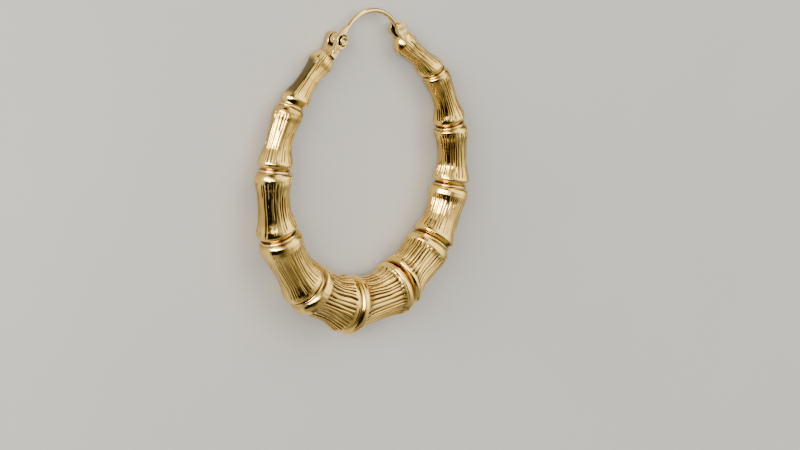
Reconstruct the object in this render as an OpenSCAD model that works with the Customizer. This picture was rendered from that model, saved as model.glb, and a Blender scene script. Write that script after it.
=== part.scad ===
// Bamboo hoop earring with a hinged ear wire, lying on its side as it rests by itself.
// In plan, X runs across the hoop and Y from its heavy middle segment up to the ear wire.
// Z leaves the plane of the hoop, and the thin end dips until its rivet meets the surface below.

/* [Tube] */
// Thickness of the tube out of the hoop's plane, as a share of its depth in the plane
tube_flatness = 0.86; // [0.75:0.01:1]
// Radius of the groove between two segments, as a share of the radii beside it
groove_share = 0.79; // [0.65:0.01:0.9]
// Points round the tube
tube_sides = 24; // [16:4:28]

/* [Hinge bracket] */
// Diameter of the two round ears
ear_d = 3; // [2.7:0.1:3.2]
// Thickness of each ear
ear_t = 0.95; // [0.8:0.05:1.1]
// Width of the stem below the ears, down to the root in the tube
root_w = 1.5; // [1.2:0.1:2]
// Thickness of the root
root_t = 2.4; // [2.2:0.1:2.6]
// Length from the rivet back to the foot, where the full thickness ends
bracket_foot = 3.8; // [3.6:0.1:4]
// Length from the rivet back to the end of the root, inside the tube
bracket_stem = 4.5; // [4:0.1:5]
// Radius of the hollow between the ears, about the rivet
hollow_r = 2.1; // [1.8:0.05:2.3]

/* [Rivet] */
// Diameter of the shank
rivet_d = 0.9; // [0.6:0.05:1]
// Diameter of each head
rivet_head_d = 1.7; // [1.4:0.1:2]
// Thickness of each head
rivet_head_t = 0.3; // [0.2:0.05:0.6]
// Gap between a head and the ear beside it
rivet_head_gap = 0.05; // [0.05:0.05:0.4]

/* [Ear wire] */
// Diameter of the round wire
wire_d = 1; // [0.8:0.05:1]
// Radius of the wire's curve, along the middle of the wire
wire_bend_r = 8.2; // [8:0.05:8.4]
// Length of the tapered tip
wire_tip_h = 0.4; // [0.2:0.1:0.6]
// Diameter at the very tip
wire_tip_d = 0.6; // [0.4:0.05:0.8]
// Thickness of the flat strap that turns on the rivet
strap_t = 1.1; // [1.05:0.05:1.4]
// Width of the strap between its eye and the wire
strap_w = 1.15; // [0.9:0.05:1.4]
// Outer diameter of the eye
eye_d = 2.6; // [2.1:0.1:2.8]

/* [Catch] */
// Diameter of the two round prongs
prong_d = 2.4; // [2:0.1:2.8]
// Thickness of each prong
prong_t = 0.75; // [0.6:0.05:1]
// Radius of the hollow between the prongs, about their round ends
prong_hollow_r = 1.6; // [1.5:0.05:1.8]
// Length from the middle of the prongs back to the foot, where the full thickness ends
catch_foot = 2.2; // [2:0.1:2.5]
// Length from the middle of the prongs back to the end of the root, inside the tube
catch_stem = 3.3; // [3:0.1:3.6]

/* [Clearances] */
// Gap on each side of the strap, between the ears
strap_gap = 0.2; // [0.05:0.05:0.3]
// Gap on each side of the wire's tip, between the prongs
tip_gap = 0.05; // [0.03:0.01:0.1]
// Radial gap of the turning eye round the rivet
turning_gap = 0.05; // [0.02:0.01:0.1]
// Radial gap of the fixed ears round the rivet
fixed_gap = 0.02; // [0:0.01:0.05]

/* [Hidden] */
$fn = 48;

gold = [0.86, 0.77, 0.58];
pale_gold = [0.9, 0.83, 0.68];
overlap = 0.1;

// Ends of the segments along the middle of the tube, from the hinge to the catch.
// Columns: across, along
ENDS = [
    [-9.2, 24.2],
    [-18.8, 15.6],
    [-23.4, 4.5],
    [-23.1, -8],
    [-16.7, -19.4],
    [-6.8, -25.6],
    [7.4, -25.3],
    [17.2, -18.7],
    [23.1, -8],
    [23.4, 4.5],
    [19.1, 15.8],
    [9.3, 24.3],
];

// The segments, from a thin end of the tube down to the heavy one in the middle.
// The other half of the hoop mirrors them, which makes eleven.
// Each has a collar at its thin end and a flared lip at its heavy end, and the heavy one has two collars.
// The first starts with a dome in place of a groove.
// Bow: how far a segment bends between its ends, from 0, straight, to 1, along the oval.
// Square: how far its collar turns square to the segment itself.
// Lean: how far the groove past its lip turns square to the next segment. At 0.5 it halves the bend.
// Columns: collar radius, waist radius, lip radius, collar's share of length, lip's share, bow, square, lean
COLLAR = 0;
WAIST = 1;
LIP = 2;
COLLAR_SHARE = 3;
LIP_SHARE = 4;
BOW = 5;
SQUARE = 6;
LEAN = 7;
SEGMENTS = [
    [2.5, 2.05, 2.85, 0.2, 0.13, 0.5, 0, 0.85],
    [2.95, 2.6, 3.5, 0.14, 0.12, 1, 1, 0.5],
    [3.75, 3.2, 4.15, 0.16, 0.12, 1, 1, 0.5],
    [4.45, 4, 4.85, 0.17, 0.11, 0.7, 0.4, 0.5],
    [5.1, 4.75, 5.65, 0.18, 0.1, 0.15, 0.4, 0.5],
    [5.8, 4.8, 5.8, 0.12, 0.12, 0.8, 0, 0.5],
];
HEAVY = len(SEGMENTS) - 1;
LAST = 2 * HEAVY;
// Rise from the groove to the collar. Columns: share of the collar's length, share of the rise
RISE = [[0, 0], [0.14, 0.5], [0.34, 0.86], [0.6, 1], [1, 1]];
// Where the collar is widest, as a share of its length
CREST = 0.6;
// Body between collar and lip. Columns: share of the body's length, share of collar, share of waist
BODY = [
    [0.02, 0.8, 0.2],
    [0.14, 0.42, 0.58],
    [0.3, 0.12, 0.88],
    [0.5, 0, 1],
    [0.68, 0, 0.86],
    [0.82, 0, 0.5],
    [0.92, 0, 0.16],
    [1, 0, 0],
];
// Fall from the lip to the groove. Columns: share of the lip's length, share of the rise
FALL = [[0.86, 0.9], [0.62, 0.58], [0.42, 0.2], [0.25, 0]];
// Share of a length that is too small to matter
TINY = 0.001;
// Places along a dome, from its top, as shares of its length
DOME = [0.03, 0.15, 0.35, 0.6, 1];

rivet_at = [-6.75, 26.2];
bracket_heading = 45;
wire_centre = [1.9, 22.25];
wire_from = 141;
wire_to = 21;
strap_heading = 33.8;
strap_length = 3.5;
catch_angle = 27;
catch_at = wire_centre + wire_bend_r * [cos(catch_angle), sin(catch_angle)];
catch_heading = 90 + catch_angle;
// Distance from the middle of a lug's round end to its narrow stem, as a share of the end's diameter
narrow_share = 0.62;
slot_w = strap_t + 2 * strap_gap;
catch_slot_w = wire_d + 2 * tip_gap;

// How the earring lies: on the collars of the heavy segment and on the rivet's lower head.
head_h = slot_w / 2 + ear_t + rivet_head_gap + rivet_head_t;
head_y = rivet_at.y + rivet_head_d / 2;
foot_h = tube_flatness * SEGMENTS[HEAVY][COLLAR];
foot_y = ENDS[HEAVY + 1].y;
rest_tilt = atan((foot_h - head_h) / (head_y - foot_y));
rest_height = head_h * cos(rest_tilt) + head_y * sin(rest_tilt);
// Middle of the outline in plan, which becomes the origin
outline_middle = [0, -0.25];

function blend(from, to, share) = from + (to - from) * share;

function unit(v) = v / norm(v);

// Row of a segment, counted from the nearer thin end.
function row(i) = SEGMENTS[min(i, LAST - i)];

// End number i, with one more before the first and after the last, in line with their neighbours.
function path_end(i) =
    i < 0 ? 2 * ENDS[0] - ENDS[1]
    : i > LAST + 1 ? 2 * ENDS[LAST + 1] - ENDS[LAST]
    : ENDS[i];

// Catmull-Rom curve through the ends: i is the segment and q the share of its length.
function oval_point(i, q) =
    let(a = path_end(i - 1), b = path_end(i), c = path_end(i + 1), d = path_end(i + 2))
    (2 * b + (c - a) * q + (2 * a - 5 * b + 4 * c - d) * q ^ 2 + (3 * b - a - 3 * c + d) * q ^ 3) / 2;

// Middle of the tube, between the straight line and the oval.
function path_point(i, q) =
    blend(blend(path_end(i), path_end(i + 1), q), oval_point(i, q), row(i)[BOW]);

function chord(i) = unit(path_end(i + 1) - path_end(i));

// Heading of the tube at end number i.
function end_heading(i) =
    let(upper = i <= HEAVY ? i - 1 : i, lower = i <= HEAVY ? i : i - 1)
    i == 0 || i == LAST + 1 ? chord(min(i, LAST)) : unit(blend(chord(upper), chord(lower), row(upper)[LEAN]));

function ring_heading(i, q) =
    let(s = row(i), turned = i > HEAVY)
    let(f = turned ? 1 - q : q, crest = CREST * s[COLLAR_SHARE])
    let(top = end_heading(turned ? i + 1 : i), foot = end_heading(turned ? i : i + 1))
    let(collar = blend(top, chord(i), s[SQUARE]))
    unit(f < crest ? blend(top, collar, f / crest) : blend(collar, foot, (f - crest) / (1 - crest)));

// Radius of the groove above the segment in row k.
function groove_r(k) = groove_share * (SEGMENTS[k - 1][LIP] + SEGMENTS[k][COLLAR]) / 2;

function dome_share(f) = sqrt(1 - (1 - f) ^ 2);

// Collar of the segment in row k, from its thin end, as [share of the length, radius].
function collar_stations(k) =
    let(s = SEGMENTS[k])
    k == 0
        ? [for (f = DOME) [f * s[COLLAR_SHARE], s[COLLAR] * dome_share(f)]]
        : [for (r = RISE) [r[0] * s[COLLAR_SHARE], blend(groove_r(k), s[COLLAR], r[1])]];

function body_stations(k) =
    let(s = SEGMENTS[k], body = 1 - s[COLLAR_SHARE] - s[LIP_SHARE])
    [for (r = BODY)
        [
            s[COLLAR_SHARE] + r[0] * body,
            r[1] * s[COLLAR] + r[2] * s[WAIST] + (1 - r[1] - r[2]) * s[LIP],
        ]];

function lip_stations(k) =
    let(s = SEGMENTS[k])
    [for (r = FALL) [1 - r[0] * s[LIP_SHARE], blend(groove_r(k + 1), s[LIP], r[1])]];

function mirrored(list) = [for (k = [len(list) - 1:-1:0]) [1 - list[k][0], list[k][1]]];

function stations(i) =
    let(k = min(i, LAST - i))
    let(down = concat(collar_stations(k), body_stations(k), k < HEAVY ? lip_stations(k) : []))
    let(half = [for (station = down) if (station[0] < 0.5 - TINY) station])
    i < HEAVY ? down
    : i > HEAVY ? mirrored(down)
    : concat(half, [[0.5, SEGMENTS[k][WAIST]]], mirrored(half));

function ring(i, station) =
    let(centre = path_point(i, station[0]), heading = ring_heading(i, station[0]), r = station[1])
    let(outward = [heading.y, -heading.x])
    [for (k = [0:tube_sides - 1])
        let(a = 360 * k / tube_sides)
        [
            centre.x + outward.x * r * cos(a),
            centre.y + outward.y * r * cos(a),
            tube_flatness * r * sin(a),
        ]];

// From the hoop's own plan to the way it lies, with the middle of its outline at the origin.
module rest() {
    translate([-outline_middle.x, -outline_middle.y, rest_height])
        rotate([-rest_tilt, 0, 0])
            children();
}

module tube() {
    rings = [for (i = [0:LAST]) for (station = stations(i)) ring(i, station)];
    count = len(rings);
    points = [for (r = rings) for (p = r) p];
    sides = [for (j = [0:count - 2]) for (k = [0:tube_sides - 1])
        let(next = (k + 1) % tube_sides)
        [
            j * tube_sides + k,
            j * tube_sides + next,
            (j + 1) * tube_sides + next,
            (j + 1) * tube_sides + k,
        ]];
    first_cap = [for (k = [tube_sides - 1:-1:0]) k];
    last_cap = [for (k = [0:tube_sides - 1]) (count - 1) * tube_sides + k];
    polyhedron(points = points, faces = concat(sides, [first_cap, last_cap]));
}

// Lug with a round end on a narrower stem, split in two by a round hollow about that end.
module split_lug(at, heading, d, cheek_t, gap_w, gap_r, foot, stem) {
    full_t = gap_w + 2 * cheek_t;
    narrow_at = narrow_share * d;
    outline = [
        [-foot, -root_w / 2],
        [-narrow_at, -root_w / 2],
        [0, -d / 2],
        [0, d / 2],
        [-narrow_at, root_w / 2],
        [-foot, root_w / 2],
    ];
    translate([at.x, at.y, 0])
        rotate(heading) {
            difference() {
                translate([0, 0, -full_t / 2])
                    linear_extrude(full_t) {
                        circle(d = d);
                        polygon(outline);
                    }
                translate([0, 0, -gap_w / 2])
                    cylinder(r = gap_r, h = gap_w);
            }
            translate([-stem, -root_w / 2, -root_t / 2])
                cube([stem - foot + overlap, root_w, root_t]);
        }
}

module along_rivet(length) {
    translate([rivet_at.x, rivet_at.y, -length / 2])
        children();
}

module hoop() {
    bore_h = slot_w + 2 * ear_t + 2 * overlap;
    color(gold)
        rest()
            difference() {
                union() {
                    tube();
                    split_lug(
                        at = rivet_at, heading = bracket_heading, d = ear_d, cheek_t = ear_t,
                        gap_w = slot_w, gap_r = hollow_r, foot = bracket_foot, stem = bracket_stem
                    );
                    split_lug(
                        at = catch_at, heading = catch_heading, d = prong_d, cheek_t = prong_t,
                        gap_w = catch_slot_w, gap_r = prong_hollow_r, foot = catch_foot, stem = catch_stem
                    );
                }
                along_rivet(bore_h)
                    cylinder(d = rivet_d + 2 * fixed_gap, h = bore_h);
            }
}

module hinge_pin() {
    shank_h = 2 * head_h - 2 * rivet_head_t + 2 * overlap;
    color(pale_gold)
        rest() {
            along_rivet(shank_h)
                cylinder(d = rivet_d, h = shank_h);
            for (side = [-1, 1])
                translate([0, 0, side * (head_h - rivet_head_t / 2)])
                    along_rivet(rivet_head_t)
                        cylinder(d = rivet_head_d, h = rivet_head_t);
        }
}

module ear_wire() {
    eye_bore_d = rivet_d + 2 * turning_gap;
    color(pale_gold)
        rest() {
            along_rivet(strap_t)
                difference() {
                    union() {
                        cylinder(d = eye_d, h = strap_t);
                        rotate(strap_heading)
                            translate([0, -strap_w / 2, 0])
                                cube([strap_length, strap_w, strap_t]);
                    }
                    translate([0, 0, -overlap])
                        cylinder(d = eye_bore_d, h = strap_t + 2 * overlap);
                }
            translate([wire_centre.x, wire_centre.y, 0]) {
                rotate(wire_to)
                    rotate_extrude(angle = wire_from - wire_to)
                        translate([wire_bend_r, 0])
                            circle(d = wire_d);
                rotate(wire_to)
                    translate([wire_bend_r, 0, 0])
                        rotate([90, 0, 0])
                            cylinder(d1 = wire_d, d2 = wire_tip_d, h = wire_tip_h);
            }
        }
}

hoop();
hinge_pin();
ear_wire();
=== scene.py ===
import math

import bmesh
import bpy
import numpy as np
from mathutils import Matrix, Vector


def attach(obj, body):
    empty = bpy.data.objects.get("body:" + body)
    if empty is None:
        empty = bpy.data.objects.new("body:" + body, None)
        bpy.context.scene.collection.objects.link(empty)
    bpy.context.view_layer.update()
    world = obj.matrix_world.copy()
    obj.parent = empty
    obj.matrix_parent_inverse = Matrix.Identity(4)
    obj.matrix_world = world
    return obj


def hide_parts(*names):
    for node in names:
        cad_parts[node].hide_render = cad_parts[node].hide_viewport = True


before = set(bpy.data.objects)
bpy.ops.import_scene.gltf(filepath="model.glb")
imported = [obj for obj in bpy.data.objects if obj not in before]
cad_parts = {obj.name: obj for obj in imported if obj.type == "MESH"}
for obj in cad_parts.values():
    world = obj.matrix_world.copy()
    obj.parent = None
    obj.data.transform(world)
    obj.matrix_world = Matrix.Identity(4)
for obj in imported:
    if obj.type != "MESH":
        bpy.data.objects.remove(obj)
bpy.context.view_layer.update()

# The hoop is described in its own plan, in millimetres: X across it, Y along it, Z out of its plane.
# to_rest() takes a point of the plan to where it lies at rest, in metres.
MM = 0.001
# Thickness of the tube out of the plan, as a share of its depth in the plan
FLATNESS = 0.86
# Radius of the groove between two segments, as a share of the radii beside it
GROOVE_SHARE = 0.79

# Ends of the segments along the middle of the tube, from the hinge to the catch. Columns: across, along
ENDS = np.array([
    [-9.2, 24.2],
    [-18.8, 15.6],
    [-23.4, 4.5],
    [-23.1, -8],
    [-16.7, -19.4],
    [-6.8, -25.6],
    [7.4, -25.3],
    [17.2, -18.7],
    [23.1, -8],
    [23.4, 4.5],
    [19.1, 15.8],
    [9.3, 24.3],
])

# The segments, from a thin end of the tube down to the heavy one in the middle.
# The other half of the hoop mirrors them, which makes eleven.
# Each has a collar at its thin end and a flared lip at its heavy end, and the heavy one has two collars.
# Bow: how far a segment bends between its ends. Square: how far its collar turns square to the segment.
# Lean: how far the groove past its lip turns square to the next segment.
# Columns: collar radius, waist radius, lip radius, collar's share of length, lip's share, bow, square,
# lean
COLLAR = 0
WAIST = 1
LIP = 2
COLLAR_SHARE = 3
LIP_SHARE = 4
BOW = 5
SQUARE = 6
LEAN = 7
SEGMENTS = [
    [2.5, 2.05, 2.85, 0.2, 0.13, 0.5, 0, 0.85],
    [2.95, 2.6, 3.5, 0.14, 0.12, 1, 1, 0.5],
    [3.75, 3.2, 4.15, 0.16, 0.12, 1, 1, 0.5],
    [4.45, 4, 4.85, 0.17, 0.11, 0.7, 0.4, 0.5],
    [5.1, 4.75, 5.65, 0.18, 0.1, 0.15, 0.4, 0.5],
    [5.8, 4.8, 5.8, 0.12, 0.12, 0.8, 0, 0.5],
]
HEAVY = len(SEGMENTS) - 1
LAST = 2 * HEAVY

# Rise from the groove to the collar. Columns: share of the collar's length, share of the rise
RISE = [[0, 0], [0.14, 0.5], [0.34, 0.86], [0.6, 1], [1, 1]]
# Where the collar is widest, as a share of its length
CREST = 0.6
# Body between collar and lip. Columns: share of the body's length, share of collar, share of waist
BODY = [
    [0.14, 0.42, 0.58],
    [0.3, 0.12, 0.88],
    [0.5, 0, 1],
    [0.68, 0, 0.86],
    [0.82, 0, 0.5],
    [0.92, 0, 0.16],
    [1, 0, 0],
]
# Fall from the lip to the groove. Columns: share of the lip's length, share of the rise
FALL = [[0.86, 0.9], [0.62, 0.58], [0.42, 0.2], [0.25, 0]]
# Places along a dome, from its top, as shares of its length
DOME = [0, 0.03, 0.15, 0.35, 0.6, 1]
# Share of a length that is too small to matter
TINY = 0.001

# Flutes of each segment, in the order of SEGMENTS.
# Columns: number round the tube, depth in mm, where they start in collar lengths, share of the body where
# they end, how much of them fades out from place to place, step down from the collar in mm, degrees left
# smooth on the outer side
COUNT = 0
DEPTH = 1
START = 2
END = 3
PATCHY = 4
STEP = 5
SMOOTH_SIDE = 6
FLUTES = [
    [30, 0.12, 0.35, 0.93, 0.75, 0.02, 34],
    [32, 0.12, 0.55, 0.97, 0.85, 0, 0],
    [34, 0.14, 0.55, 0.97, 0.8, 0, 0],
    [44, 0.09, 0.93, 0.95, 0.7, 0.1, 0],
    [38, 0.25, 0.95, 0.95, 0.5, 0.12, 0],
    [38, 0.26, 0.95, 0.97, 0.5, 0.12, 0],
]
# Mesh columns of one flute, as shares of its width. The groove runs at 0.
PHASES = np.array([0, 0.07, 0.15, 0.27, 0.5, 0.73, 0.85, 0.93])
# Section of a flute: a narrow groove in a wide one, as shares of its depth, and the narrow one's width,
# as a share of the flute's
NARROW_DEPTH = 0.65
WIDE_DEPTH = 0.35
NARROW_WIDTH = 0.16
# How far the ridge between two grooves goes up and down, as a share of their depth
RIDGE_WAVE = 0.6
# Painted shade in the flute grooves: shares of the depth between which a groove goes from unshaded to
# fully shaded, and the depth in mm from which it is fully shaded
PAINTED_GROOVE_SHADE = (0.12, 0.55)
FULL_PAINTED_SHADE_DEPTH = 0.15
# Over what share of a segment the flutes start, and over what share of its body they end
START_FADE = 0.03
END_FADE = 0.07

# Unevenness of handwork. Cells: how many dips and rises fit round the tube, and along a segment.
FLUTE_SEED = 400
DENT_SEED = 900
# How far a flute lies off its even place and how far it sways from there, as shares of its width
SHIFT = 0.6
SWAY = 0.6
SWAY_CELLS = (9, 3)
FINE_SWAY = 0.3
FINE_SWAY_CELLS = (17, 7)
# Levels of noise between which a flute goes from gone to whole, and cells along each groove and each ridge
GONE_TO_WHOLE = (0.25, 0.7)
GROOVE_CELLS = 4
RIDGE_CELLS = 3
# How unevenly flutes start, as a share of the segment, and end, as a share of its body
UNEVEN_START = 0.04
UNEVEN_END = 0.05
# Height between the lowest and the highest of the dents in mm, and the share of a segment over which they
# fade at each end
DENTS = 0.1
DENT_CELLS = (11, 4)
FINE_DENTS = 0.04
FINE_DENT_CELLS = (71, 9)
DENT_FADE = 0.1

# Smooth outer side of the end segments, with a painted dim reflection on it: how strong that painted
# reflection is, from 0 to 1, over how many degrees the flutes and the painted reflection fade at its edge,
# and over what shares of the body it comes and goes
PAINTED_DIM_SIDE = 0.95
FLUTE_FADE = 6
PAINTED_DIM_FADE = 3
PAINTED_DIM_COMES = (-0.05, 0.1)
PAINTED_DIM_GOES = (0.85, 1)

# Step down from a collar: the share of the body over which it falls, and where it comes back up
STEP_FALL = 0.012
STEP_BACK = (0.5, 0.95)
# Painted shade in a neck, from 0 to 1, and how much wider than the groove, in mm of radius, it is gone
PAINTED_NECK_SHADE = 0.35
NECK_REACH = 0.35
# The grain is drawn out along the tube: a length there counts as this share of itself.
# Each piece starts further on in the grain than the one before.
GRAIN_ALONG = 0.12
GRAIN_SHIFT = 7

# Rings of a segment, of the body of a domed one, of its dome, and of the edge where a collar ends
RINGS = 97
DOMED_RINGS = 80
DOME_RINGS = 24
EDGE_RINGS = 9
# Where the edge's rings run, in segment lengths from the collar's end, and digits of a ring's place
EDGE_SPAN = (-0.012, 0.036)
PLACE_DIGITS = 5
# Angle of a dome's first ring, counted from its top
DOME_FROM = 0.06
# Bead in each groove: its radius, how far its middle stands out of the groove, and points round both ways
BEAD_R = 0.3
BEAD_RISE = 0.08
BEAD_RINGS = 128
BEAD_SIDES = 20

# Rivet, with a round dished head on both sides
RIVET_AT = np.array([-6.75, 26.2])
RIVET_R = 0.45
RIVET_HEAD_R = 0.85
RIVET_HEAD_T = 0.3
RIVET_HEAD_GAP = 0.05
# Columns: radius, height above the underside of the head
RIVET_HEAD = [
    [RIVET_R, 0],
    [0.78, 0],
    [0.83, 0.03],
    [RIVET_HEAD_R, 0.09],
    [RIVET_HEAD_R, 0.18],
    [0.82, 0.26],
    [0.75, RIVET_HEAD_T],
    [0.6, 0.29],
    [0.5, 0.24],
    [0.42, 0.14],
    [0.32, 0.08],
    [0.15, 0.06],
    [0.02, 0.06],
]
# Gaps round the rivet, in the eye that turns on it and in the ears that hold it
TURNING_GAP = 0.05
FIXED_GAP = 0.02

# Lugs: the hinge bracket with its two ears, and the catch with its two prongs.
# Width and thickness of a lug's root, and where its stem meets the round end, as a share of that end's
# width
ROOT_W = 1.5
ROOT_T = 2.4
NARROW_SHARE = 0.62
# Half the turn of the round end's edge
LUG_TURN = math.radians(98)
# Round recess in both faces, about the bore
SINK_R = 1.12
SINK_DEPTH = 0.25
# Foot and stem: how far the plate and the thicker root under it reach from the middle of the round end
BRACKET_HEADING = math.radians(45)
BRACKET_FOOT = 3.8
BRACKET_STEM = 4.5
EAR_D = 3.0
EAR_T = 0.95
SLOT_W = 1.5
HOLLOW_R = 2.1
CATCH_FOOT = 2.2
CATCH_STEM = 3.3
PRONG_D = 2.4
PRONG_T = 0.75
PRONG_HOLLOW_R = 1.6
TIP_GAP = 0.05

# Ear wire: round along its arc, with a flat strap that turns on the rivet
WIRE_CENTRE = np.array([1.9, 22.25])
WIRE_R = 8.2
WIRE_D = 1.0
WIRE_FROM = math.radians(141)
WIRE_TO = math.radians(21)
WIRE_RINGS = 90
WIRE_SIDES = 48
# End of the wire in the strap. Columns: radius, how far ahead along the wire
WIRE_START = np.array([
    [0.3, -0.06],
    [0.42, -0.05],
    [0.47, -0.03],
])
# Rings of the rounded tip, as shares of its length, and that length
WIRE_TIP = np.linspace(0.1, 0.92, 9)
WIRE_TIP_H = 0.4
STRAP_HEADING = math.radians(33.8)
STRAP_T = 1.1
EYE_R = 1.3
EYE_TURN = (math.radians(62), math.radians(298))
EYE_POINTS = 48
# Edge of the strap past its eye. Columns: how far from the rivet along the strap, how far to the side
STRAP_EDGE = [
    [1.3, -0.66],
    [2.2, -0.45],
    [3.4, -0.2],
    [3.6, 0],
    [3.62, 0.3],
    [3.5, 0.525],
    [3.2, 0.575],
    [1.3, 0.62],
]
# Where the wire meets the catch, round its arc
CATCH_ANGLE = math.radians(27)
CATCH_AT = WIRE_CENTRE + WIRE_R * np.array([math.cos(CATCH_ANGLE), math.sin(CATCH_ANGLE)])
CATCH_HEADING = CATCH_ANGLE + math.pi / 2

# How far a cut goes beyond a face, and how far a solid goes into the one it joins
MARGIN = 1
OVERLAP = 0.1
# Points of a full circle
ARC_POINTS = 64
# Rounding of edges: widths in mm, steps, and the angle from which an edge is rounded
LUG_ROUNDING = 0.12
STRAP_ROUNDING = 0.1
ROUNDING_STEPS = 4
SHARP_FROM = math.radians(40)

# The earring lies on the collars of the heavy segment and on the rivet's lower head.
# Heights are over the plan, and the middle of the outline comes to rest at the origin.
HEAD_FOOT = SLOT_W / 2 + EAR_T + RIVET_HEAD_GAP
HEAD_H = HEAD_FOOT + RIVET_HEAD_T
HEAD_Y = RIVET_AT[1] + RIVET_HEAD_R
FOOT_H = FLATNESS * SEGMENTS[HEAVY][COLLAR]
FOOT_Y = ENDS[HEAVY + 1][1]
REST_TILT = math.atan((FOOT_H - HEAD_H) / (HEAD_Y - FOOT_Y))
REST_HEIGHT = HEAD_H * math.cos(REST_TILT) + HEAD_Y * math.sin(REST_TILT)
OUTLINE_MIDDLE_Y = -0.25


def direction_to_rest(plan):
    """Directions of the plan, turned as the earring lies at rest."""
    plan = np.asarray(plan, dtype=float)
    cos, sin = math.cos(REST_TILT), math.sin(REST_TILT)
    x, y, z = plan[..., 0], plan[..., 1], plan[..., 2]
    return np.stack([x, y * cos + z * sin, -y * sin + z * cos], axis=-1)


def to_rest(plan):
    """Points of the plan, in mm, where they lie at rest, in metres."""
    return MM * (direction_to_rest(plan) + [0, -OUTLINE_MIDDLE_Y, REST_HEIGHT])


def mix(start, end, share):
    return start + (end - start) * share


def unit(vector):
    return vector / np.linalg.norm(vector)


def smooth_step(low, high, value):
    share = np.clip((value - low) / (high - low), 0, 1)
    return share * share * (3 - 2 * share)


def circle_angles(count):
    return 2 * math.pi * np.arange(count) / count


# The line along the middle of the tube


def sizes(i):
    """Row of SEGMENTS for the segment that is number i from the hinge."""
    return SEGMENTS[min(i, LAST - i)]


def from_thin_end(i, q):
    """Share of a segment's length, counted from its thin end."""
    return 1 - q if i > HEAVY else q


def path_end(i):
    if i < 0:
        return 2 * ENDS[0] - ENDS[1]
    if i > LAST + 1:
        return 2 * ENDS[LAST + 1] - ENDS[LAST]
    return ENDS[i]


def path_points(i, q):
    """Middle of the tube, between the straight line and a smooth curve through all the ends."""
    a, b, c, d = (path_end(k) for k in (i - 1, i, i + 1, i + 2))
    q = q[:, None]
    square = (2 * a - 5 * b + 4 * c - d) * q ** 2
    oval = (2 * b + (c - a) * q + square + (3 * b - a - 3 * c + d) * q ** 3) / 2
    return mix(mix(b, c, q), oval, sizes(i)[BOW])


def chord(i):
    return unit(path_end(i + 1) - path_end(i))


def end_heading(i):
    """Heading of the tube at end number i."""
    if i in (0, LAST + 1):
        return chord(min(i, LAST))
    upper, lower = (i - 1, i) if i <= HEAVY else (i, i - 1)
    return unit(mix(chord(upper), chord(lower), sizes(upper)[LEAN]))


def ring_heading(i, q):
    s = sizes(i)
    f = from_thin_end(i, q)
    crest = CREST * s[COLLAR_SHARE]
    top, foot = end_heading(i), end_heading(i + 1)
    if i > HEAVY:
        top, foot = foot, top
    collar = mix(top, chord(i), s[SQUARE])
    if f < crest:
        return unit(mix(top, collar, f / crest))
    return unit(mix(collar, foot, (f - crest) / (1 - crest)))


def groove_radius(k):
    """Radius of the groove above the segment in row k."""
    return GROOVE_SHARE * (SEGMENTS[k - 1][LIP] + SEGMENTS[k][COLLAR]) / 2


def mirrored(keys):
    return [[1 - place, radius] for place, radius in reversed(keys)]


def profile_keys(i):
    """Places along a segment, as shares of its length, with the radius there."""
    k = min(i, LAST - i)
    s = SEGMENTS[k]
    if k == 0:
        keys = [[f * s[COLLAR_SHARE], s[COLLAR] * math.sqrt(1 - (1 - f) ** 2)] for f in DOME]
    else:
        keys = [[f * s[COLLAR_SHARE], mix(groove_radius(k), s[COLLAR], rise)] for f, rise in RISE]
    length = 1 - s[COLLAR_SHARE] - s[LIP_SHARE]
    for place, collar, waist in BODY:
        radius = collar * s[COLLAR] + waist * s[WAIST] + (1 - collar - waist) * s[LIP]
        keys.append([s[COLLAR_SHARE] + place * length, radius])
    if k == HEAVY:
        half = [key for key in keys if key[0] < 0.5 - TINY]
        return np.array(half + [[0.5, s[WAIST]]] + mirrored(half))
    keys += [[1 - f * s[LIP_SHARE], mix(groove_radius(k + 1), s[LIP], rise)] for f, rise in FALL]
    keys.append([1, groove_radius(k + 1)])
    return np.array(mirrored(keys) if i > HEAVY else keys)


def monotone_curve(keys, q):
    """Smooth curve through the keys that overshoots none of them."""
    x, y = keys[:, 0], keys[:, 1]
    step = np.diff(x)
    slope = np.diff(y) / step
    tangent = np.zeros(len(x))
    same_way = slope[:-1] * slope[1:] > 0
    before = 2 * step[1:] + step[:-1]
    after = step[1:] + 2 * step[:-1]
    with np.errstate(divide="ignore", invalid="ignore"):
        middle = (before + after) / (before / slope[:-1] + after / slope[1:])
    tangent[1:-1] = np.where(same_way, middle, 0)
    tangent[0], tangent[-1] = slope[0], slope[-1]
    k = np.clip(np.searchsorted(x, q, side="right") - 1, 0, len(step) - 1)
    t = (q - x[k]) / step[k]
    return (
        (1 + 2 * t) * (1 - t) ** 2 * y[k]
        + t * (1 - t) ** 2 * step[k] * tangent[k]
        + t * t * (3 - 2 * t) * y[k + 1]
        + t * t * (t - 1) * step[k] * tangent[k + 1]
    )


# Hand-worked surface of the tube


def cell_noise(rng, turn, along, cells_round, cells_along):
    """Smooth noise from 0 to 1 that closes on itself round the tube."""
    table = rng.random((cells_along + 2, cells_round))
    u = turn * cells_round
    v = along * cells_along
    iu = np.floor(u + TINY).astype(int)
    iv = np.clip(np.floor(v).astype(int), 0, cells_along)
    fu = smooth_step(0, 1, u - iu)
    fv = smooth_step(0, 1, v - iv)
    near = mix(table[iv, iu % cells_round], table[iv, (iu + 1) % cells_round], fu)
    far = mix(table[iv + 1, iu % cells_round], table[iv + 1, (iu + 1) % cells_round], fu)
    return mix(near, far, fv)


def body_place(i, f):
    """Place along the body of a segment: 0 at its collar and 1 at its lip or its other collar."""
    s = sizes(i)
    foot = s[COLLAR_SHARE if i == HEAVY else LIP_SHARE]
    return (f - s[COLLAR_SHARE]) / (1 - s[COLLAR_SHARE] - foot)


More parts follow.
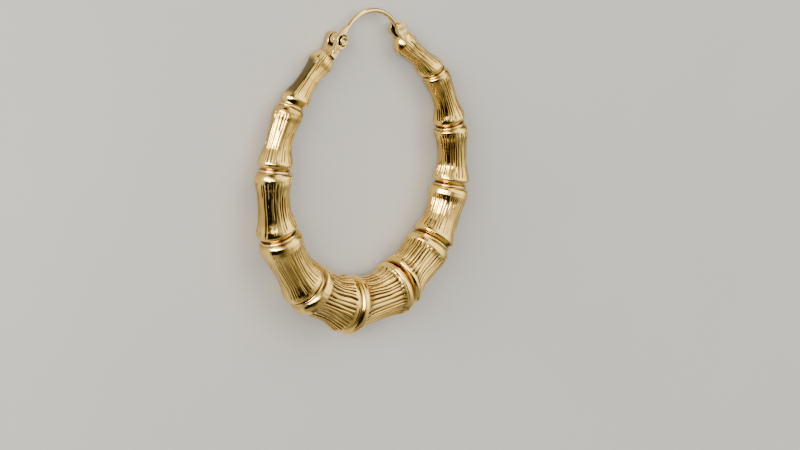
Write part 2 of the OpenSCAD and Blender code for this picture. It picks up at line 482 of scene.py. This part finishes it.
def flutes(i, q):
    """Flutes of a segment, by ring and by mesh column, which wanders with its flute.

    Gives the turn round the tube, the cut in mm, the painted shade of the groove and the painted dim
    reflection on the smooth side.
    """
    rng = np.random.default_rng(FLUTE_SEED + i)
    shape = FLUTES[min(i, LAST - i)]
    count = shape[COUNT]
    number = np.repeat(np.arange(count), len(PHASES))
    phase = np.tile(PHASES, count)
    shift = SHIFT * (rng.random(count) - 0.5)
    grooves = np.arange(count + 1) + np.append(shift, shift[0])
    start_turn = mix(grooves[number], grooves[number + 1], phase) / count
    along, even = np.meshgrid(from_thin_end(i, q), start_turn, indexing="ij")
    sway = cell_noise(rng, even % 1, along, *SWAY_CELLS)
    sway += FINE_SWAY * cell_noise(rng, even % 1, along, *FINE_SWAY_CELLS)
    turn = even + SWAY * (sway - (1 + FINE_SWAY) / 2) / count

    ridge = number / count + 0 * along
    groove = (number + (phase > 0.5)) % count / count + 0 * along
    strength = smooth_step(*GONE_TO_WHOLE, cell_noise(rng, groove, along, count, GROOVE_CELLS))
    strength = mix(1, strength, shape[PATCHY])
    start = shape[START] * sizes(i)[COLLAR_SHARE]
    start += UNEVEN_START * cell_noise(rng, groove, 0 * along, count, 1)
    end = shape[END] + UNEVEN_END * (cell_noise(rng, groove, 0 * along, count, 1) - 0.5)
    body = body_place(i, along)
    fade = smooth_step(0, START_FADE, along - start) * (1 - smooth_step(-END_FADE, 0, body - end))
    if i == HEAVY:
        fade *= smooth_step(0, START_FADE, 1 - along - start)
    dull = 0 * turn
    side = shape[SMOOTH_SIDE]
    if side:
        angle = 360 * np.abs((turn + 0.5) % 1 - 0.5)
        fade *= smooth_step(side, side + FLUTE_FADE, angle)
        # Painted dim reflection on the smooth outer side
        dull = 1 - smooth_step(side - PAINTED_DIM_FADE, side + PAINTED_DIM_FADE, angle)
        dull *= PAINTED_DIM_SIDE * smooth_step(*PAINTED_DIM_COMES, body) * (1 - smooth_step(*PAINTED_DIM_GOES, body))

    away = np.minimum(phase, 1 - phase)
    hollow = NARROW_DEPTH * np.exp(-(away / NARROW_WIDTH) ** 2)
    hollow += WIDE_DEPTH * (1 + np.cos(2 * math.pi * phase)) / 2
    crown = np.sin(math.pi * phase) ** 2 * (cell_noise(rng, ridge, along, count, RIDGE_CELLS) - 0.5)
    recess = strength * hollow * fade
    cut = shape[DEPTH] * (recess - RIDGE_WAVE * crown * fade)
    # Painted shade in the grooves, fuller where a flute is deeper
    painted_shade = smooth_step(*PAINTED_GROOVE_SHADE, recess) * min(shape[DEPTH] / FULL_PAINTED_SHADE_DEPTH, 1)
    return turn, cut, painted_shade, dull


def segment_places(i):
    """Places of the rings along a segment, closer together at the edge of a collar."""
    collar = sizes(i)[COLLAR_SHARE]
    edge = collar + np.linspace(*EDGE_SPAN, EDGE_RINGS)
    places = [np.linspace(0, 1, RINGS), edge]
    if i == HEAVY:
        places.append(1 - edge)
    if i in (0, LAST):
        places[0] = np.linspace(collar, 1, DOMED_RINGS)
        places.append(collar * (1 - np.cos(np.linspace(DOME_FROM, math.pi / 2, DOME_RINGS))))
    f = np.unique(np.round(np.concatenate(places), PLACE_DIGITS))
    return np.sort(from_thin_end(i, f))


# Meshes and pieces


def outward(mesh):
    """Turns every face outward and shades it smooth."""
    work = bmesh.new()
    work.from_mesh(mesh)
    bmesh.ops.recalc_face_normals(work, faces=work.faces)
    work.to_mesh(mesh)
    work.free()
    mesh.shade_smooth()


def new_mesh(name, points, faces, **stored):
    """Mesh with a number or a vector stored for each of its points, under each key."""
    mesh = bpy.data.meshes.new(name)
    mesh.from_pydata(np.asarray(points, dtype=float).tolist(), [], faces)
    for key, values in stored.items():
        kind, field = ("FLOAT_VECTOR", "vector") if values.shape[-1] == 3 else ("FLOAT", "value")
        layer = mesh.attributes.new(key, kind, "POINT")
        layer.data.foreach_set(field, values.astype(np.float32).ravel())
    outward(mesh)
    return mesh


def quads_between(rings, around, closed=False):
    """Faces between rings of points. Where closed, they also join the last ring to the first."""
    ring, k = np.meshgrid(np.arange(rings if closed else rings - 1), np.arange(around), indexing="ij")
    beyond = (ring + 1) % rings
    after = (k + 1) % around
    return np.stack([
        ring * around + k,
        ring * around + after,
        beyond * around + after,
        beyond * around + k,
    ], axis=-1).reshape(-1, 4).tolist()


def capped_mesh(name, rows, **stored):
    """Mesh through rings of points, an array of rings by points by three, with a cap on both ends."""
    rings, around = rows.shape[:2]
    total = rings * around
    last_row = total - around

    def with_caps(values):
        flat = values.reshape(total, -1)
        return np.concatenate([flat, [flat[:around].mean(axis=0), flat[last_row:].mean(axis=0)]])

    k = np.arange(around)
    after = (k + 1) % around
    first = np.stack([np.full(around, total), after, k], axis=1)
    last = np.stack([np.full(around, total + 1), last_row + k, last_row + after], axis=1)
    faces = quads_between(rings, around) + first.tolist() + last.tolist()
    capped = {key: with_caps(values) for key, values in stored.items()}
    return new_mesh(name, with_caps(rows), faces, **capped)


def ring_mesh(name, rows, **stored):
    """Mesh of a closed ring through closed sections."""
    rings, around = rows.shape[:2]
    flat = {key: values.reshape(rings * around, -1) for key, values in stored.items()}
    return new_mesh(name, rows.reshape(-1, 3), quads_between(rings, around, closed=True), **flat)


def add_object(name, data):
    item = bpy.data.objects.new(name, data)
    bpy.context.scene.collection.objects.link(item)
    return item


def add_piece(name, mesh, material, body, replaced):
    piece = add_object(name, mesh)
    piece.data.materials.append(material)
    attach(piece, body)
    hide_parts(replaced)
    return piece


# Materials

# Input and output numbers of a node that mixes colours
MIX_SHARE = 0
MIX_FIRST = 6
MIX_SECOND = 7
MIXED = 2
# Noise of the gold: clouds and smears of colour, drawn lines, and slow waves. Columns: scale, detail
CLOUD = (0.45, 3)
SMEAR = (2.2, 4)
LINES = (9, 3)
SWELL = (0.55, 1)
# Levels between which a noise, or how open a place is, goes from no effect to its full effect
CLOUD_LEVELS = (0.35, 0.65)
SMEAR_LEVELS = (0.4, 0.65)
ROUGH_LEVELS = (0.3, 0.7)
OPEN_LEVELS = (0.35, 0.85)
# How much rougher than its polish the gold gets
ROUGH_MORE = 0.08
# How strongly the drawn lines stand out
GRAIN_STRENGTH = 0.5
# Painted shade in corners: how near another surface has to be, in mm, for a corner to be shaded
PAINTED_CORNER_SHADE_REACH = 1.2
PAINTED_CORNER_SHADE_SAMPLES = 8
# Colour of the painted dim reflection on the smooth outer side of the end segments
PAINTED_DIM_TONE = (0.13, 0.104, 0.047, 1)


def put(tree, socket, value):
    """Sets the socket, or links it where the value is another node's output."""
    if isinstance(value, bpy.types.NodeSocket):
        tree.links.new(value, socket)
    else:
        socket.default_value = value


def wire_up(tree, kind, settings=None, **inputs):
    """A new node of the tree with its settings and its inputs."""
    node = tree.nodes.new(kind)
    for key, value in (settings or {}).items():
        setattr(node, key, value)
    for key, value in inputs.items():
        put(tree, node.inputs[key.replace("_", " ")], value)
    return node


def mix_colour(tree, share, first, second):
    node = tree.nodes.new("ShaderNodeMix")
    node.data_type = "RGBA"
    for number, value in ((MIX_SHARE, share), (MIX_FIRST, first), (MIX_SECOND, second)):
        put(tree, node.inputs[number], value)
    return node.outputs[MIXED]


def noise(tree, place, scale, detail):
    return wire_up(tree, "ShaderNodeTexNoise", Vector=place, Scale=scale, Detail=detail).outputs["Fac"]


def spread(tree, value, levels, start=0.0, end=1.0):
    """The value between two levels, spread over the range from start to end."""
    low, high = levels
    node = wire_up(
        tree, "ShaderNodeMapRange", Value=value, From_Min=low, From_Max=high, To_Min=start, To_Max=end,
    )
    return node.outputs["Result"]


def stored_value(tree, key, output):
    return wire_up(tree, "ShaderNodeAttribute", {"attribute_name": key}).outputs[output]


def gold(name, light, warm, recess, polish, grain_depth, wave=0.0, along_tube=True):
    """Polished gold with fine drawn grain along the tube, with painted shade, warmer and darker, in its
    grooves and corners, and a painted dim reflection on the smooth side.
    """
    material = bpy.data.materials.new(name)
    material.use_nodes = True
    tree = material.node_tree
    tree.nodes.clear()
    if along_tube:
        grain = stored_value(tree, "grain", "Vector")
    else:
        place = tree.nodes.new("ShaderNodeTexCoord").outputs["Object"]
        in_mm = wire_up(tree, "ShaderNodeMapping", Vector=place, Scale=(1 / MM, 1 / MM, 1 / MM))
        grain = in_mm.outputs["Vector"]
    smear = noise(tree, grain, *SMEAR)
    colour = mix_colour(tree, spread(tree, noise(tree, grain, *CLOUD), CLOUD_LEVELS), light, warm)
    colour = mix_colour(tree, spread(tree, smear, SMEAR_LEVELS), colour, warm)
    # Painted dim reflection on the smooth side of the end segments
    colour = mix_colour(tree, stored_value(tree, "dull", "Fac"), colour, PAINTED_DIM_TONE)
    # Painted shade in the flute grooves and the necks, stored as the cut attribute
    colour = mix_colour(tree, stored_value(tree, "cut", "Fac"), colour, recess)
    # Painted shade in corners where another surface is near, in the recess colour
    painted_corner_shade = wire_up(
        tree, "ShaderNodeAmbientOcclusion", {"samples": PAINTED_CORNER_SHADE_SAMPLES}, Distance=PAINTED_CORNER_SHADE_REACH * MM,
    )
    colour = mix_colour(tree, spread(tree, painted_corner_shade.outputs["AO"], OPEN_LEVELS), recess, colour)
    grained = wire_up(
        tree, "ShaderNodeBump", Strength=GRAIN_STRENGTH, Distance=grain_depth * MM,
        Height=noise(tree, grain, *LINES),
    )
    waved = wire_up(
        tree, "ShaderNodeBump", Distance=wave * MM, Height=noise(tree, grain, *SWELL),
        Normal=grained.outputs["Normal"],
    )
    shader = wire_up(
        tree, "ShaderNodeBsdfPrincipled", Base_Color=colour, Metallic=1.0,
        Roughness=spread(tree, smear, ROUGH_LEVELS, polish, polish + ROUGH_MORE),
        Normal=waved.outputs["Normal"],
    )
    wire_up(tree, "ShaderNodeOutputMaterial", Surface=shader.outputs["BSDF"])
    return material


# The recess colour is the painted shade of grooves, necks and corners
body_gold = gold(
    "fluted_gold", light=(1, 0.74, 0.24, 1), warm=(0.9, 0.6, 0.14, 1), recess=(0.15, 0.065, 0.012, 1),
    polish=0.05, grain_depth=0.03,
)
plain_gold = gold(
    "plain_gold", light=(0.93, 0.72, 0.32, 1), warm=(0.8, 0.58, 0.2, 1), recess=(0.18, 0.085, 0.02, 1),
    polish=0.05, grain_depth=0.01,
)
small_gold = gold(
    "small_gold", light=(0.86, 0.65, 0.27, 1), warm=(0.7, 0.48, 0.15, 1), recess=(0.1, 0.045, 0.01, 1),
    polish=0.04, grain_depth=0.01, wave=0.5, along_tube=False,
)
wire_gold = gold(
    "wire_gold", light=(0.97, 0.75, 0.32, 1), warm=(0.8, 0.6, 0.22, 1), recess=(0.12, 0.06, 0.015, 1),
    polish=0.05, grain_depth=0.01, wave=0.08, along_tube=False,
)


# Tube


def tube_rings(centre, headings, radius, angle, ahead=0):
    """Points of rings square to their headings, by ring and by place round the tube, at rest."""
    across = np.stack([headings[:, 1], -headings[:, 0]], axis=1)[:, None, :]
    flat = centre[:, None, :] + across * (radius * np.cos(angle))[..., None] + headings[:, None, :] * ahead
    return to_rest(np.concatenate([flat, (FLATNESS * radius * np.sin(angle))[..., None]], axis=-1))


def grain_place(radius, angle, along, i):
    """Place in the grain, which runs along the tube."""
    return np.stack([radius * np.cos(angle), radius * np.sin(angle), along + GRAIN_SHIFT * i], axis=-1)


def segment(i):
    q = segment_places(i)
    turn, cut, painted_shade, dull = flutes(i, q)
    angle = 2 * math.pi * turn
    place = q[:, None] + 0 * turn
    f = from_thin_end(i, place)
    body = body_place(i, f)
    step = FLUTES[min(i, LAST - i)][STEP] * smooth_step(0, STEP_FALL, body)
    if i == HEAVY:
        step *= smooth_step(0, STEP_FALL, 1 - body)
    else:
        step *= 1 - smooth_step(*STEP_BACK, body)
    rng = np.random.default_rng(DENT_SEED + i)
    dents = DENTS * (cell_noise(rng, turn % 1, f, *DENT_CELLS) - 0.5)
    dents += FINE_DENTS * (cell_noise(rng, turn % 1, f, *FINE_DENT_CELLS) - 0.5)
    dents *= smooth_step(0, DENT_FADE, f) * smooth_step(0, DENT_FADE, 1 - f)
    profile = monotone_curve(profile_keys(i), q)[:, None]
    radius = profile - cut - step + dents
    # Painted shade in the necks between segments, where the radius falls towards the groove
    neck = 1 - smooth_step(0, NECK_REACH, profile - profile[[0, -1]].max())
    if i in (0, LAST):
        # A dome has no neck, so only the other end counts.
        neck = neck * (f > 0.5)
    painted_shade = np.maximum(painted_shade, PAINTED_NECK_SHADE * neck)
    headings = np.array([ring_heading(i, share) for share in q])
    length = np.linalg.norm(ENDS[i + 1] - ENDS[i])
    # The cut attribute carries the painted shade of grooves and necks, not the depth of the cut
    mesh = capped_mesh(
        f"segment_{i + 1}",
        tube_rings(path_points(i, q), headings, radius, angle),
        grain=grain_place(radius, angle, place * length * GRAIN_ALONG, i),
        cut=painted_shade,
        dull=dull,
    )
    add_piece(f"segment_{i + 1}", mesh, body_gold, "hoop_body", "hoop")


def neck_bead(i):
    """Thin bead round the groove between segment i - 1 and segment i."""
    turn, across = np.meshgrid(circle_angles(BEAD_RINGS), circle_angles(BEAD_SIDES), indexing="ij")
    upper = i if i <= HEAVY else LAST + 1 - i
    radius = groove_radius(upper) + BEAD_RISE + BEAD_R * np.cos(across)
    along = BEAD_R * np.sin(across)
    centre = np.tile(ENDS[i], (BEAD_RINGS, 1))
    headings = np.tile(end_heading(i), (BEAD_RINGS, 1))
    rows = tube_rings(centre, headings, radius, turn, along[..., None])
    mesh = ring_mesh(f"neck_{i}", rows, grain=grain_place(radius, turn, along, i))
    add_piece(f"neck_{i}", mesh, plain_gold, "hoop_body", "hoop")


for index in range(LAST + 1):
    segment(index)
for index in range(1, LAST + 1):
    neck_bead(index)


# Hinge, ear wire and catch


def turned(points, angle):
    cos, sin = math.cos(angle), math.sin(angle)
    return np.array(points) @ np.array([[cos, sin], [-sin, cos]])


def arc(centre, radius, start, end, count=ARC_POINTS):
    """Points on an arc in the plan, both ends included."""
    angle = np.linspace(start, end, count)
    return [[centre[0] + radius * math.cos(a), centre[1] + radius * math.sin(a)] for a in angle]


def prism(outline, low, high):
    """Solid over the outline, from one height over the plan to another."""
    count = len(outline)
    points = [(x, y, low) for x, y in outline] + [(x, y, high) for x, y in outline]
    sides = [(k, (k + 1) % count, count + (k + 1) % count, count + k) for k in range(count)]
    caps = [tuple(reversed(range(count))), tuple(range(count, 2 * count))]
    return add_object("solid", new_mesh("solid", points, sides + caps))


def disc(centre, radius, low, high):
    last = 2 * math.pi * (ARC_POINTS - 1) / ARC_POINTS
    return prism(arc(centre, radius, 0, last), low, high)


def combine(solid, operation, *others):
    """The solid with the others joined to it or cut out of it, all in one."""
    for other in others:
        step = solid.modifiers.new("step", "BOOLEAN")
        step.operation = operation
        step.solver = "EXACT"
        step.object = other
    graph = bpy.context.evaluated_depsgraph_get()
    mesh = bpy.data.meshes.new_from_object(solid.evaluated_get(graph))
    for used in (solid, *others):
        bpy.data.objects.remove(used)
    return add_object("solid", mesh)


def settle(solid, name):
    """The solid's mesh, moved from the plan to where it lies at rest, under its own name."""
    mesh = solid.data
    bpy.data.objects.remove(solid)
    mesh.name = name
    plan = np.array([v.co for v in mesh.vertices])
    mesh.vertices.foreach_set("co", to_rest(plan).astype(np.float32).ravel())
    outward(mesh)
    return mesh


def soften(piece, width):
    """Rounds the piece's edges and keeps its flats flat."""
    bevel = piece.modifiers.new("edges", "BEVEL")
    bevel.width = width * MM
    bevel.segments = ROUNDING_STEPS
    bevel.limit_method = "ANGLE"
    bevel.angle_limit = SHARP_FROM
    normals = piece.modifiers.new("flats", "WEIGHTED_NORMAL")
    normals.keep_sharp = False


def split_lug(name, at, heading, round_d, cheek_t, gap_w, hollow_r, foot, stem, bore_r=0):
    """Lug with a round end on a narrower stem, split in two by a round hollow about that end.

    A bore is sunk a little wider into both faces.
    """
    narrow_at = NARROW_SHARE * round_d
    outline = [[-foot, -ROOT_W / 2], [-narrow_at, -ROOT_W / 2]]
    outline += arc((0, 0), round_d / 2, -LUG_TURN, LUG_TURN)
    outline += [[-narrow_at, ROOT_W / 2], [-foot, ROOT_W / 2]]
    root = [
        [-stem, -ROOT_W / 2],
        [OVERLAP - foot, -ROOT_W / 2],
        [OVERLAP - foot, ROOT_W / 2],
        [-stem, ROOT_W / 2],
    ]
    full = gap_w / 2 + cheek_t
    lug = combine(
        prism((turned(outline, heading) + at).tolist(), -full, full),
        "UNION",
        prism((turned(root, heading) + at).tolist(), -ROOT_T / 2, ROOT_T / 2),
    )
    cuts = [disc(at, hollow_r, -gap_w / 2, gap_w / 2)]
    if bore_r:
        cuts.append(disc(at, bore_r, -full - MARGIN, full + MARGIN))
        cuts.append(disc(at, SINK_R, full - SINK_DEPTH, full + MARGIN))
        cuts.append(disc(at, SINK_R, -full - MARGIN, SINK_DEPTH - full))
    mesh = settle(combine(lug, "DIFFERENCE", *cuts), name)
    piece = add_piece(name, mesh, small_gold, "hoop_body", "hoop")
    soften(piece, LUG_ROUNDING)


def rivet():
    """Rivet through the ears, turned about a line out of the plan."""
    head = np.array(RIVET_HEAD) + [0, HEAD_FOOT]
    profile = np.concatenate([head[::-1] * [1, -1], head])
    turn = circle_angles(ARC_POINTS)
    plan = np.stack([
        RIVET_AT[0] + profile[:, :1] * np.cos(turn),
        RIVET_AT[1] + profile[:, :1] * np.sin(turn),
        np.repeat(profile[:, 1:], ARC_POINTS, axis=1),
    ], axis=-1)
    mesh = capped_mesh("rivet", to_rest(plan))
    add_piece("rivet", mesh, small_gold, "hoop_body", "hinge_pin")


def round_wire():
    """Round wire along its arc, with a plain cut end at the strap and a rounded tip at the catch."""
    angle = np.concatenate([
        [WIRE_FROM] * len(WIRE_START),
        np.linspace(WIRE_FROM, WIRE_TO, WIRE_RINGS),
        [WIRE_TO] * len(WIRE_TIP),
    ])
    tip = WIRE_D / 2 * np.sqrt(1 - WIRE_TIP ** 2)
    radius = np.concatenate([WIRE_START[:, 0], [WIRE_D / 2] * WIRE_RINGS, tip])[:, None]
    ahead = np.concatenate([WIRE_START[:, 1], [0] * WIRE_RINGS, WIRE_TIP_H * WIRE_TIP])[:, None]
    turn = circle_angles(WIRE_SIDES)
    out = np.stack([np.cos(angle), np.sin(angle)], axis=1)
    onward = np.stack([np.sin(angle), -np.cos(angle)], axis=1)
    middle = WIRE_CENTRE + WIRE_R * out + ahead * onward
    plan = np.stack([
        middle[:, :1] + out[:, :1] * radius * np.cos(turn),
        middle[:, 1:] + out[:, 1:] * radius * np.cos(turn),
        radius * np.sin(turn),
    ], axis=-1)
    mesh = capped_mesh("ear_wire_loop", to_rest(plan))
    add_piece("ear_wire_loop", mesh, wire_gold, "wire_body", "ear_wire")


def strap():
    """Flat strap that turns on the rivet, narrower towards the wire."""
    outline = arc((0, 0), EYE_R, *EYE_TURN, EYE_POINTS) + STRAP_EDGE
    solid = combine(
        prism((turned(outline, STRAP_HEADING) + RIVET_AT).tolist(), -STRAP_T / 2, STRAP_T / 2),
        "DIFFERENCE",
        disc(RIVET_AT, RIVET_R + TURNING_GAP, -MARGIN, MARGIN),
    )
    piece = add_piece("strap", settle(solid, "strap"), wire_gold, "wire_body", "ear_wire")
    soften(piece, STRAP_ROUNDING)


split_lug(
    "bracket", RIVET_AT, BRACKET_HEADING, round_d=EAR_D, cheek_t=EAR_T, gap_w=SLOT_W, hollow_r=HOLLOW_R,
    foot=BRACKET_FOOT, stem=BRACKET_STEM, bore_r=RIVET_R + FIXED_GAP,
)
split_lug(
    "catch", CATCH_AT, CATCH_HEADING, round_d=PRONG_D, cheek_t=PRONG_T, gap_w=WIRE_D + 2 * TIP_GAP,
    hollow_r=PRONG_HOLLOW_R, foot=CATCH_FOOT, stem=CATCH_STEM,
)
rivet()
round_wire()
strap()


# Camera

# Place and directions in the plan, in mm
CAMERA_AT = (-237.5, 90.1, 245.4)
CAMERA_RIGHT = (0.701, -0.024, 0.713)
CAMERA_UP = (0.219, 0.958, -0.183)
# Lens and sensor in mm, and the nearest and the farthest that is seen, in metres
LENS = 82.97
SENSOR_W = 36
NEAREST = 0.01
FARTHEST = 20

camera = add_object("camera", bpy.data.cameras.new("camera"))
right = Vector(direction_to_rest(CAMERA_RIGHT)).normalized()
backward = right.cross(Vector(direction_to_rest(CAMERA_UP))).normalized()
upward = backward.cross(right)
turn_to_view = Matrix((right, upward, backward)).transposed().to_4x4()
camera.matrix_world = Matrix.Translation(Vector(to_rest(CAMERA_AT))) @ turn_to_view
camera.data.lens = LENS
camera.data.sensor_width = SENSOR_W
camera.data.clip_start = NEAREST
camera.data.clip_end = FARTHEST
bpy.context.scene.camera = camera


# Floor

# Half the side of the floor, in metres
FLOOR_HALF = 1.5
FLOOR_ROUGHNESS = 0.8
FLOOR_TONES = ((0.4, 0.395, 0.385, 1), (0.43, 0.425, 0.415, 1))
FIBRE_SCALE = 90.0
FIBRE_DETAIL = 4.0

corners = [(x * FLOOR_HALF, y * FLOOR_HALF, 0) for x, y in ((-1, -1), (1, -1), (1, 1), (-1, 1))]
floor_mesh = bpy.data.meshes.new("floor")
floor_mesh.from_pydata(corners, [], [(0, 1, 2, 3)])
floor = add_object("floor", floor_mesh)
paper = bpy.data.materials.new("paper")
paper.use_nodes = True
sheet = paper.node_tree
shader = sheet.nodes["Principled BSDF"]
shader.inputs["Roughness"].default_value = FLOOR_ROUGHNESS
fibre = wire_up(sheet, "ShaderNodeTexNoise", Scale=FIBRE_SCALE, Detail=FIBRE_DETAIL)
shade = wire_up(sheet, "ShaderNodeValToRGB", Fac=fibre.outputs["Fac"])
for stop, tone in zip(shade.color_ramp.elements, FLOOR_TONES):
    stop.color = tone
sheet.links.new(shade.outputs["Color"], shader.inputs["Base Color"])
floor.data.materials.append(paper)


# Light

# Soft lamps that face the hoop. Columns: name, place, width and height, power in watts
LAMPS = [
    ["key", (0.33, 0.25, 0.44), (0.3, 0.3), 1.2],
    ["left", (-0.16, 0.04, 0.1), (0.08, 0.12), 0.14],
]
LAMP_COLOUR = (1, 0.96, 0.9)
ROOM_COLOUR = (1, 0.955, 0.86, 1)
ROOM_BRIGHTNESS = 0.4
# Soft oval patches of the room, each laid over the ones before it.
# Columns: azimuth and elevation of the middle, half width and half height, all in degrees, softness of the
# edge, brightness
PATCHES = [
    [38, 50, 42, 28, 0.5, 2.8],
    [30, 5, 35, 22, 0.4, 0.25],
    [64, 20, 7, 18, 0.3, 4],
    [106, 8, 16, 32, 0.25, 0.1],
    [-70, 0, 12, 25, 0.4, 0.05],
    [-150, 58, 34, 18, 0.4, 0.06],
    [-160, 30, 25, 42, 0.15, 0.01],
    [140, 5, 19, 36, 0.2, 2.4],
    [155, 12, 8, 30, 0.8, 42],
]
# A patch is on one side of the room only: cosines of the angle from its middle between which it comes in
FACING = (0, 0.1)


def soft_lamp(name, at, size, power):
    light = bpy.data.lights.new(name, "AREA")
    light.shape = "RECTANGLE"
    light.size, light.size_y = size
    light.energy = power
    light.color = LAMP_COLOUR
    lamp = add_object(name, light)
    lamp.location = at
    lamp.rotation_mode = "QUATERNION"
    lamp.rotation_quaternion = (-Vector(at)).to_track_quat("-Z", "Y")
    lamp.visible_glossy = False


def along_axis(tree, direction, axis):
    """Reach of a direction along an axis."""
    node = wire_up(tree, "ShaderNodeVectorMath", {"operation": "DOT_PRODUCT"})
    put(tree, node.inputs[0], direction)
    put(tree, node.inputs[1], axis)
    return node.outputs["Value"]


def lay_patch(tree, direction, level, azimuth, elevation, half_width, half_height, edge, brightness):
    """The room's brightness with one more patch over it."""
    turn, rise = math.radians(azimuth), math.radians(elevation)
    across = Vector((-math.sin(turn), math.cos(turn), 0))
    middle = Vector((math.cos(turn) * math.cos(rise), math.sin(turn) * math.cos(rise), math.sin(rise)))
    upward = middle.cross(across)
    reach = wire_up(
        tree, "ShaderNodeCombineXYZ",
        X=along_axis(tree, direction, across / math.sin(math.radians(half_width))),
        Y=along_axis(tree, direction, upward / math.sin(math.radians(half_height))),
    )
    distance = wire_up(
        tree, "ShaderNodeVectorMath", {"operation": "LENGTH"}, Vector=reach.outputs["Vector"],
    )
    inside = wire_up(
        tree, "ShaderNodeMapRange", {"interpolation_type": "SMOOTHSTEP"}, Value=distance.outputs["Value"],
        From_Min=1 + edge, From_Max=1 - edge,
    )
    share = spread(tree, along_axis(tree, direction, middle), FACING, end=inside.outputs["Result"])
    return spread(tree, share, (0, 1), level, brightness)


for lamp in LAMPS:
    soft_lamp(*lamp)

world = bpy.data.worlds.new("room")
bpy.context.scene.world = world
world.use_nodes = True
room = world.node_tree
background = room.nodes["Background"]
background.inputs["Color"].default_value = ROOM_COLOUR
direction = room.nodes.new("ShaderNodeTexCoord").outputs["Generated"]
glow = ROOM_BRIGHTNESS
for patch in PATCHES:
    glow = lay_patch(room, direction, glow, *patch)
room.links.new(glow, background.inputs["Strength"])
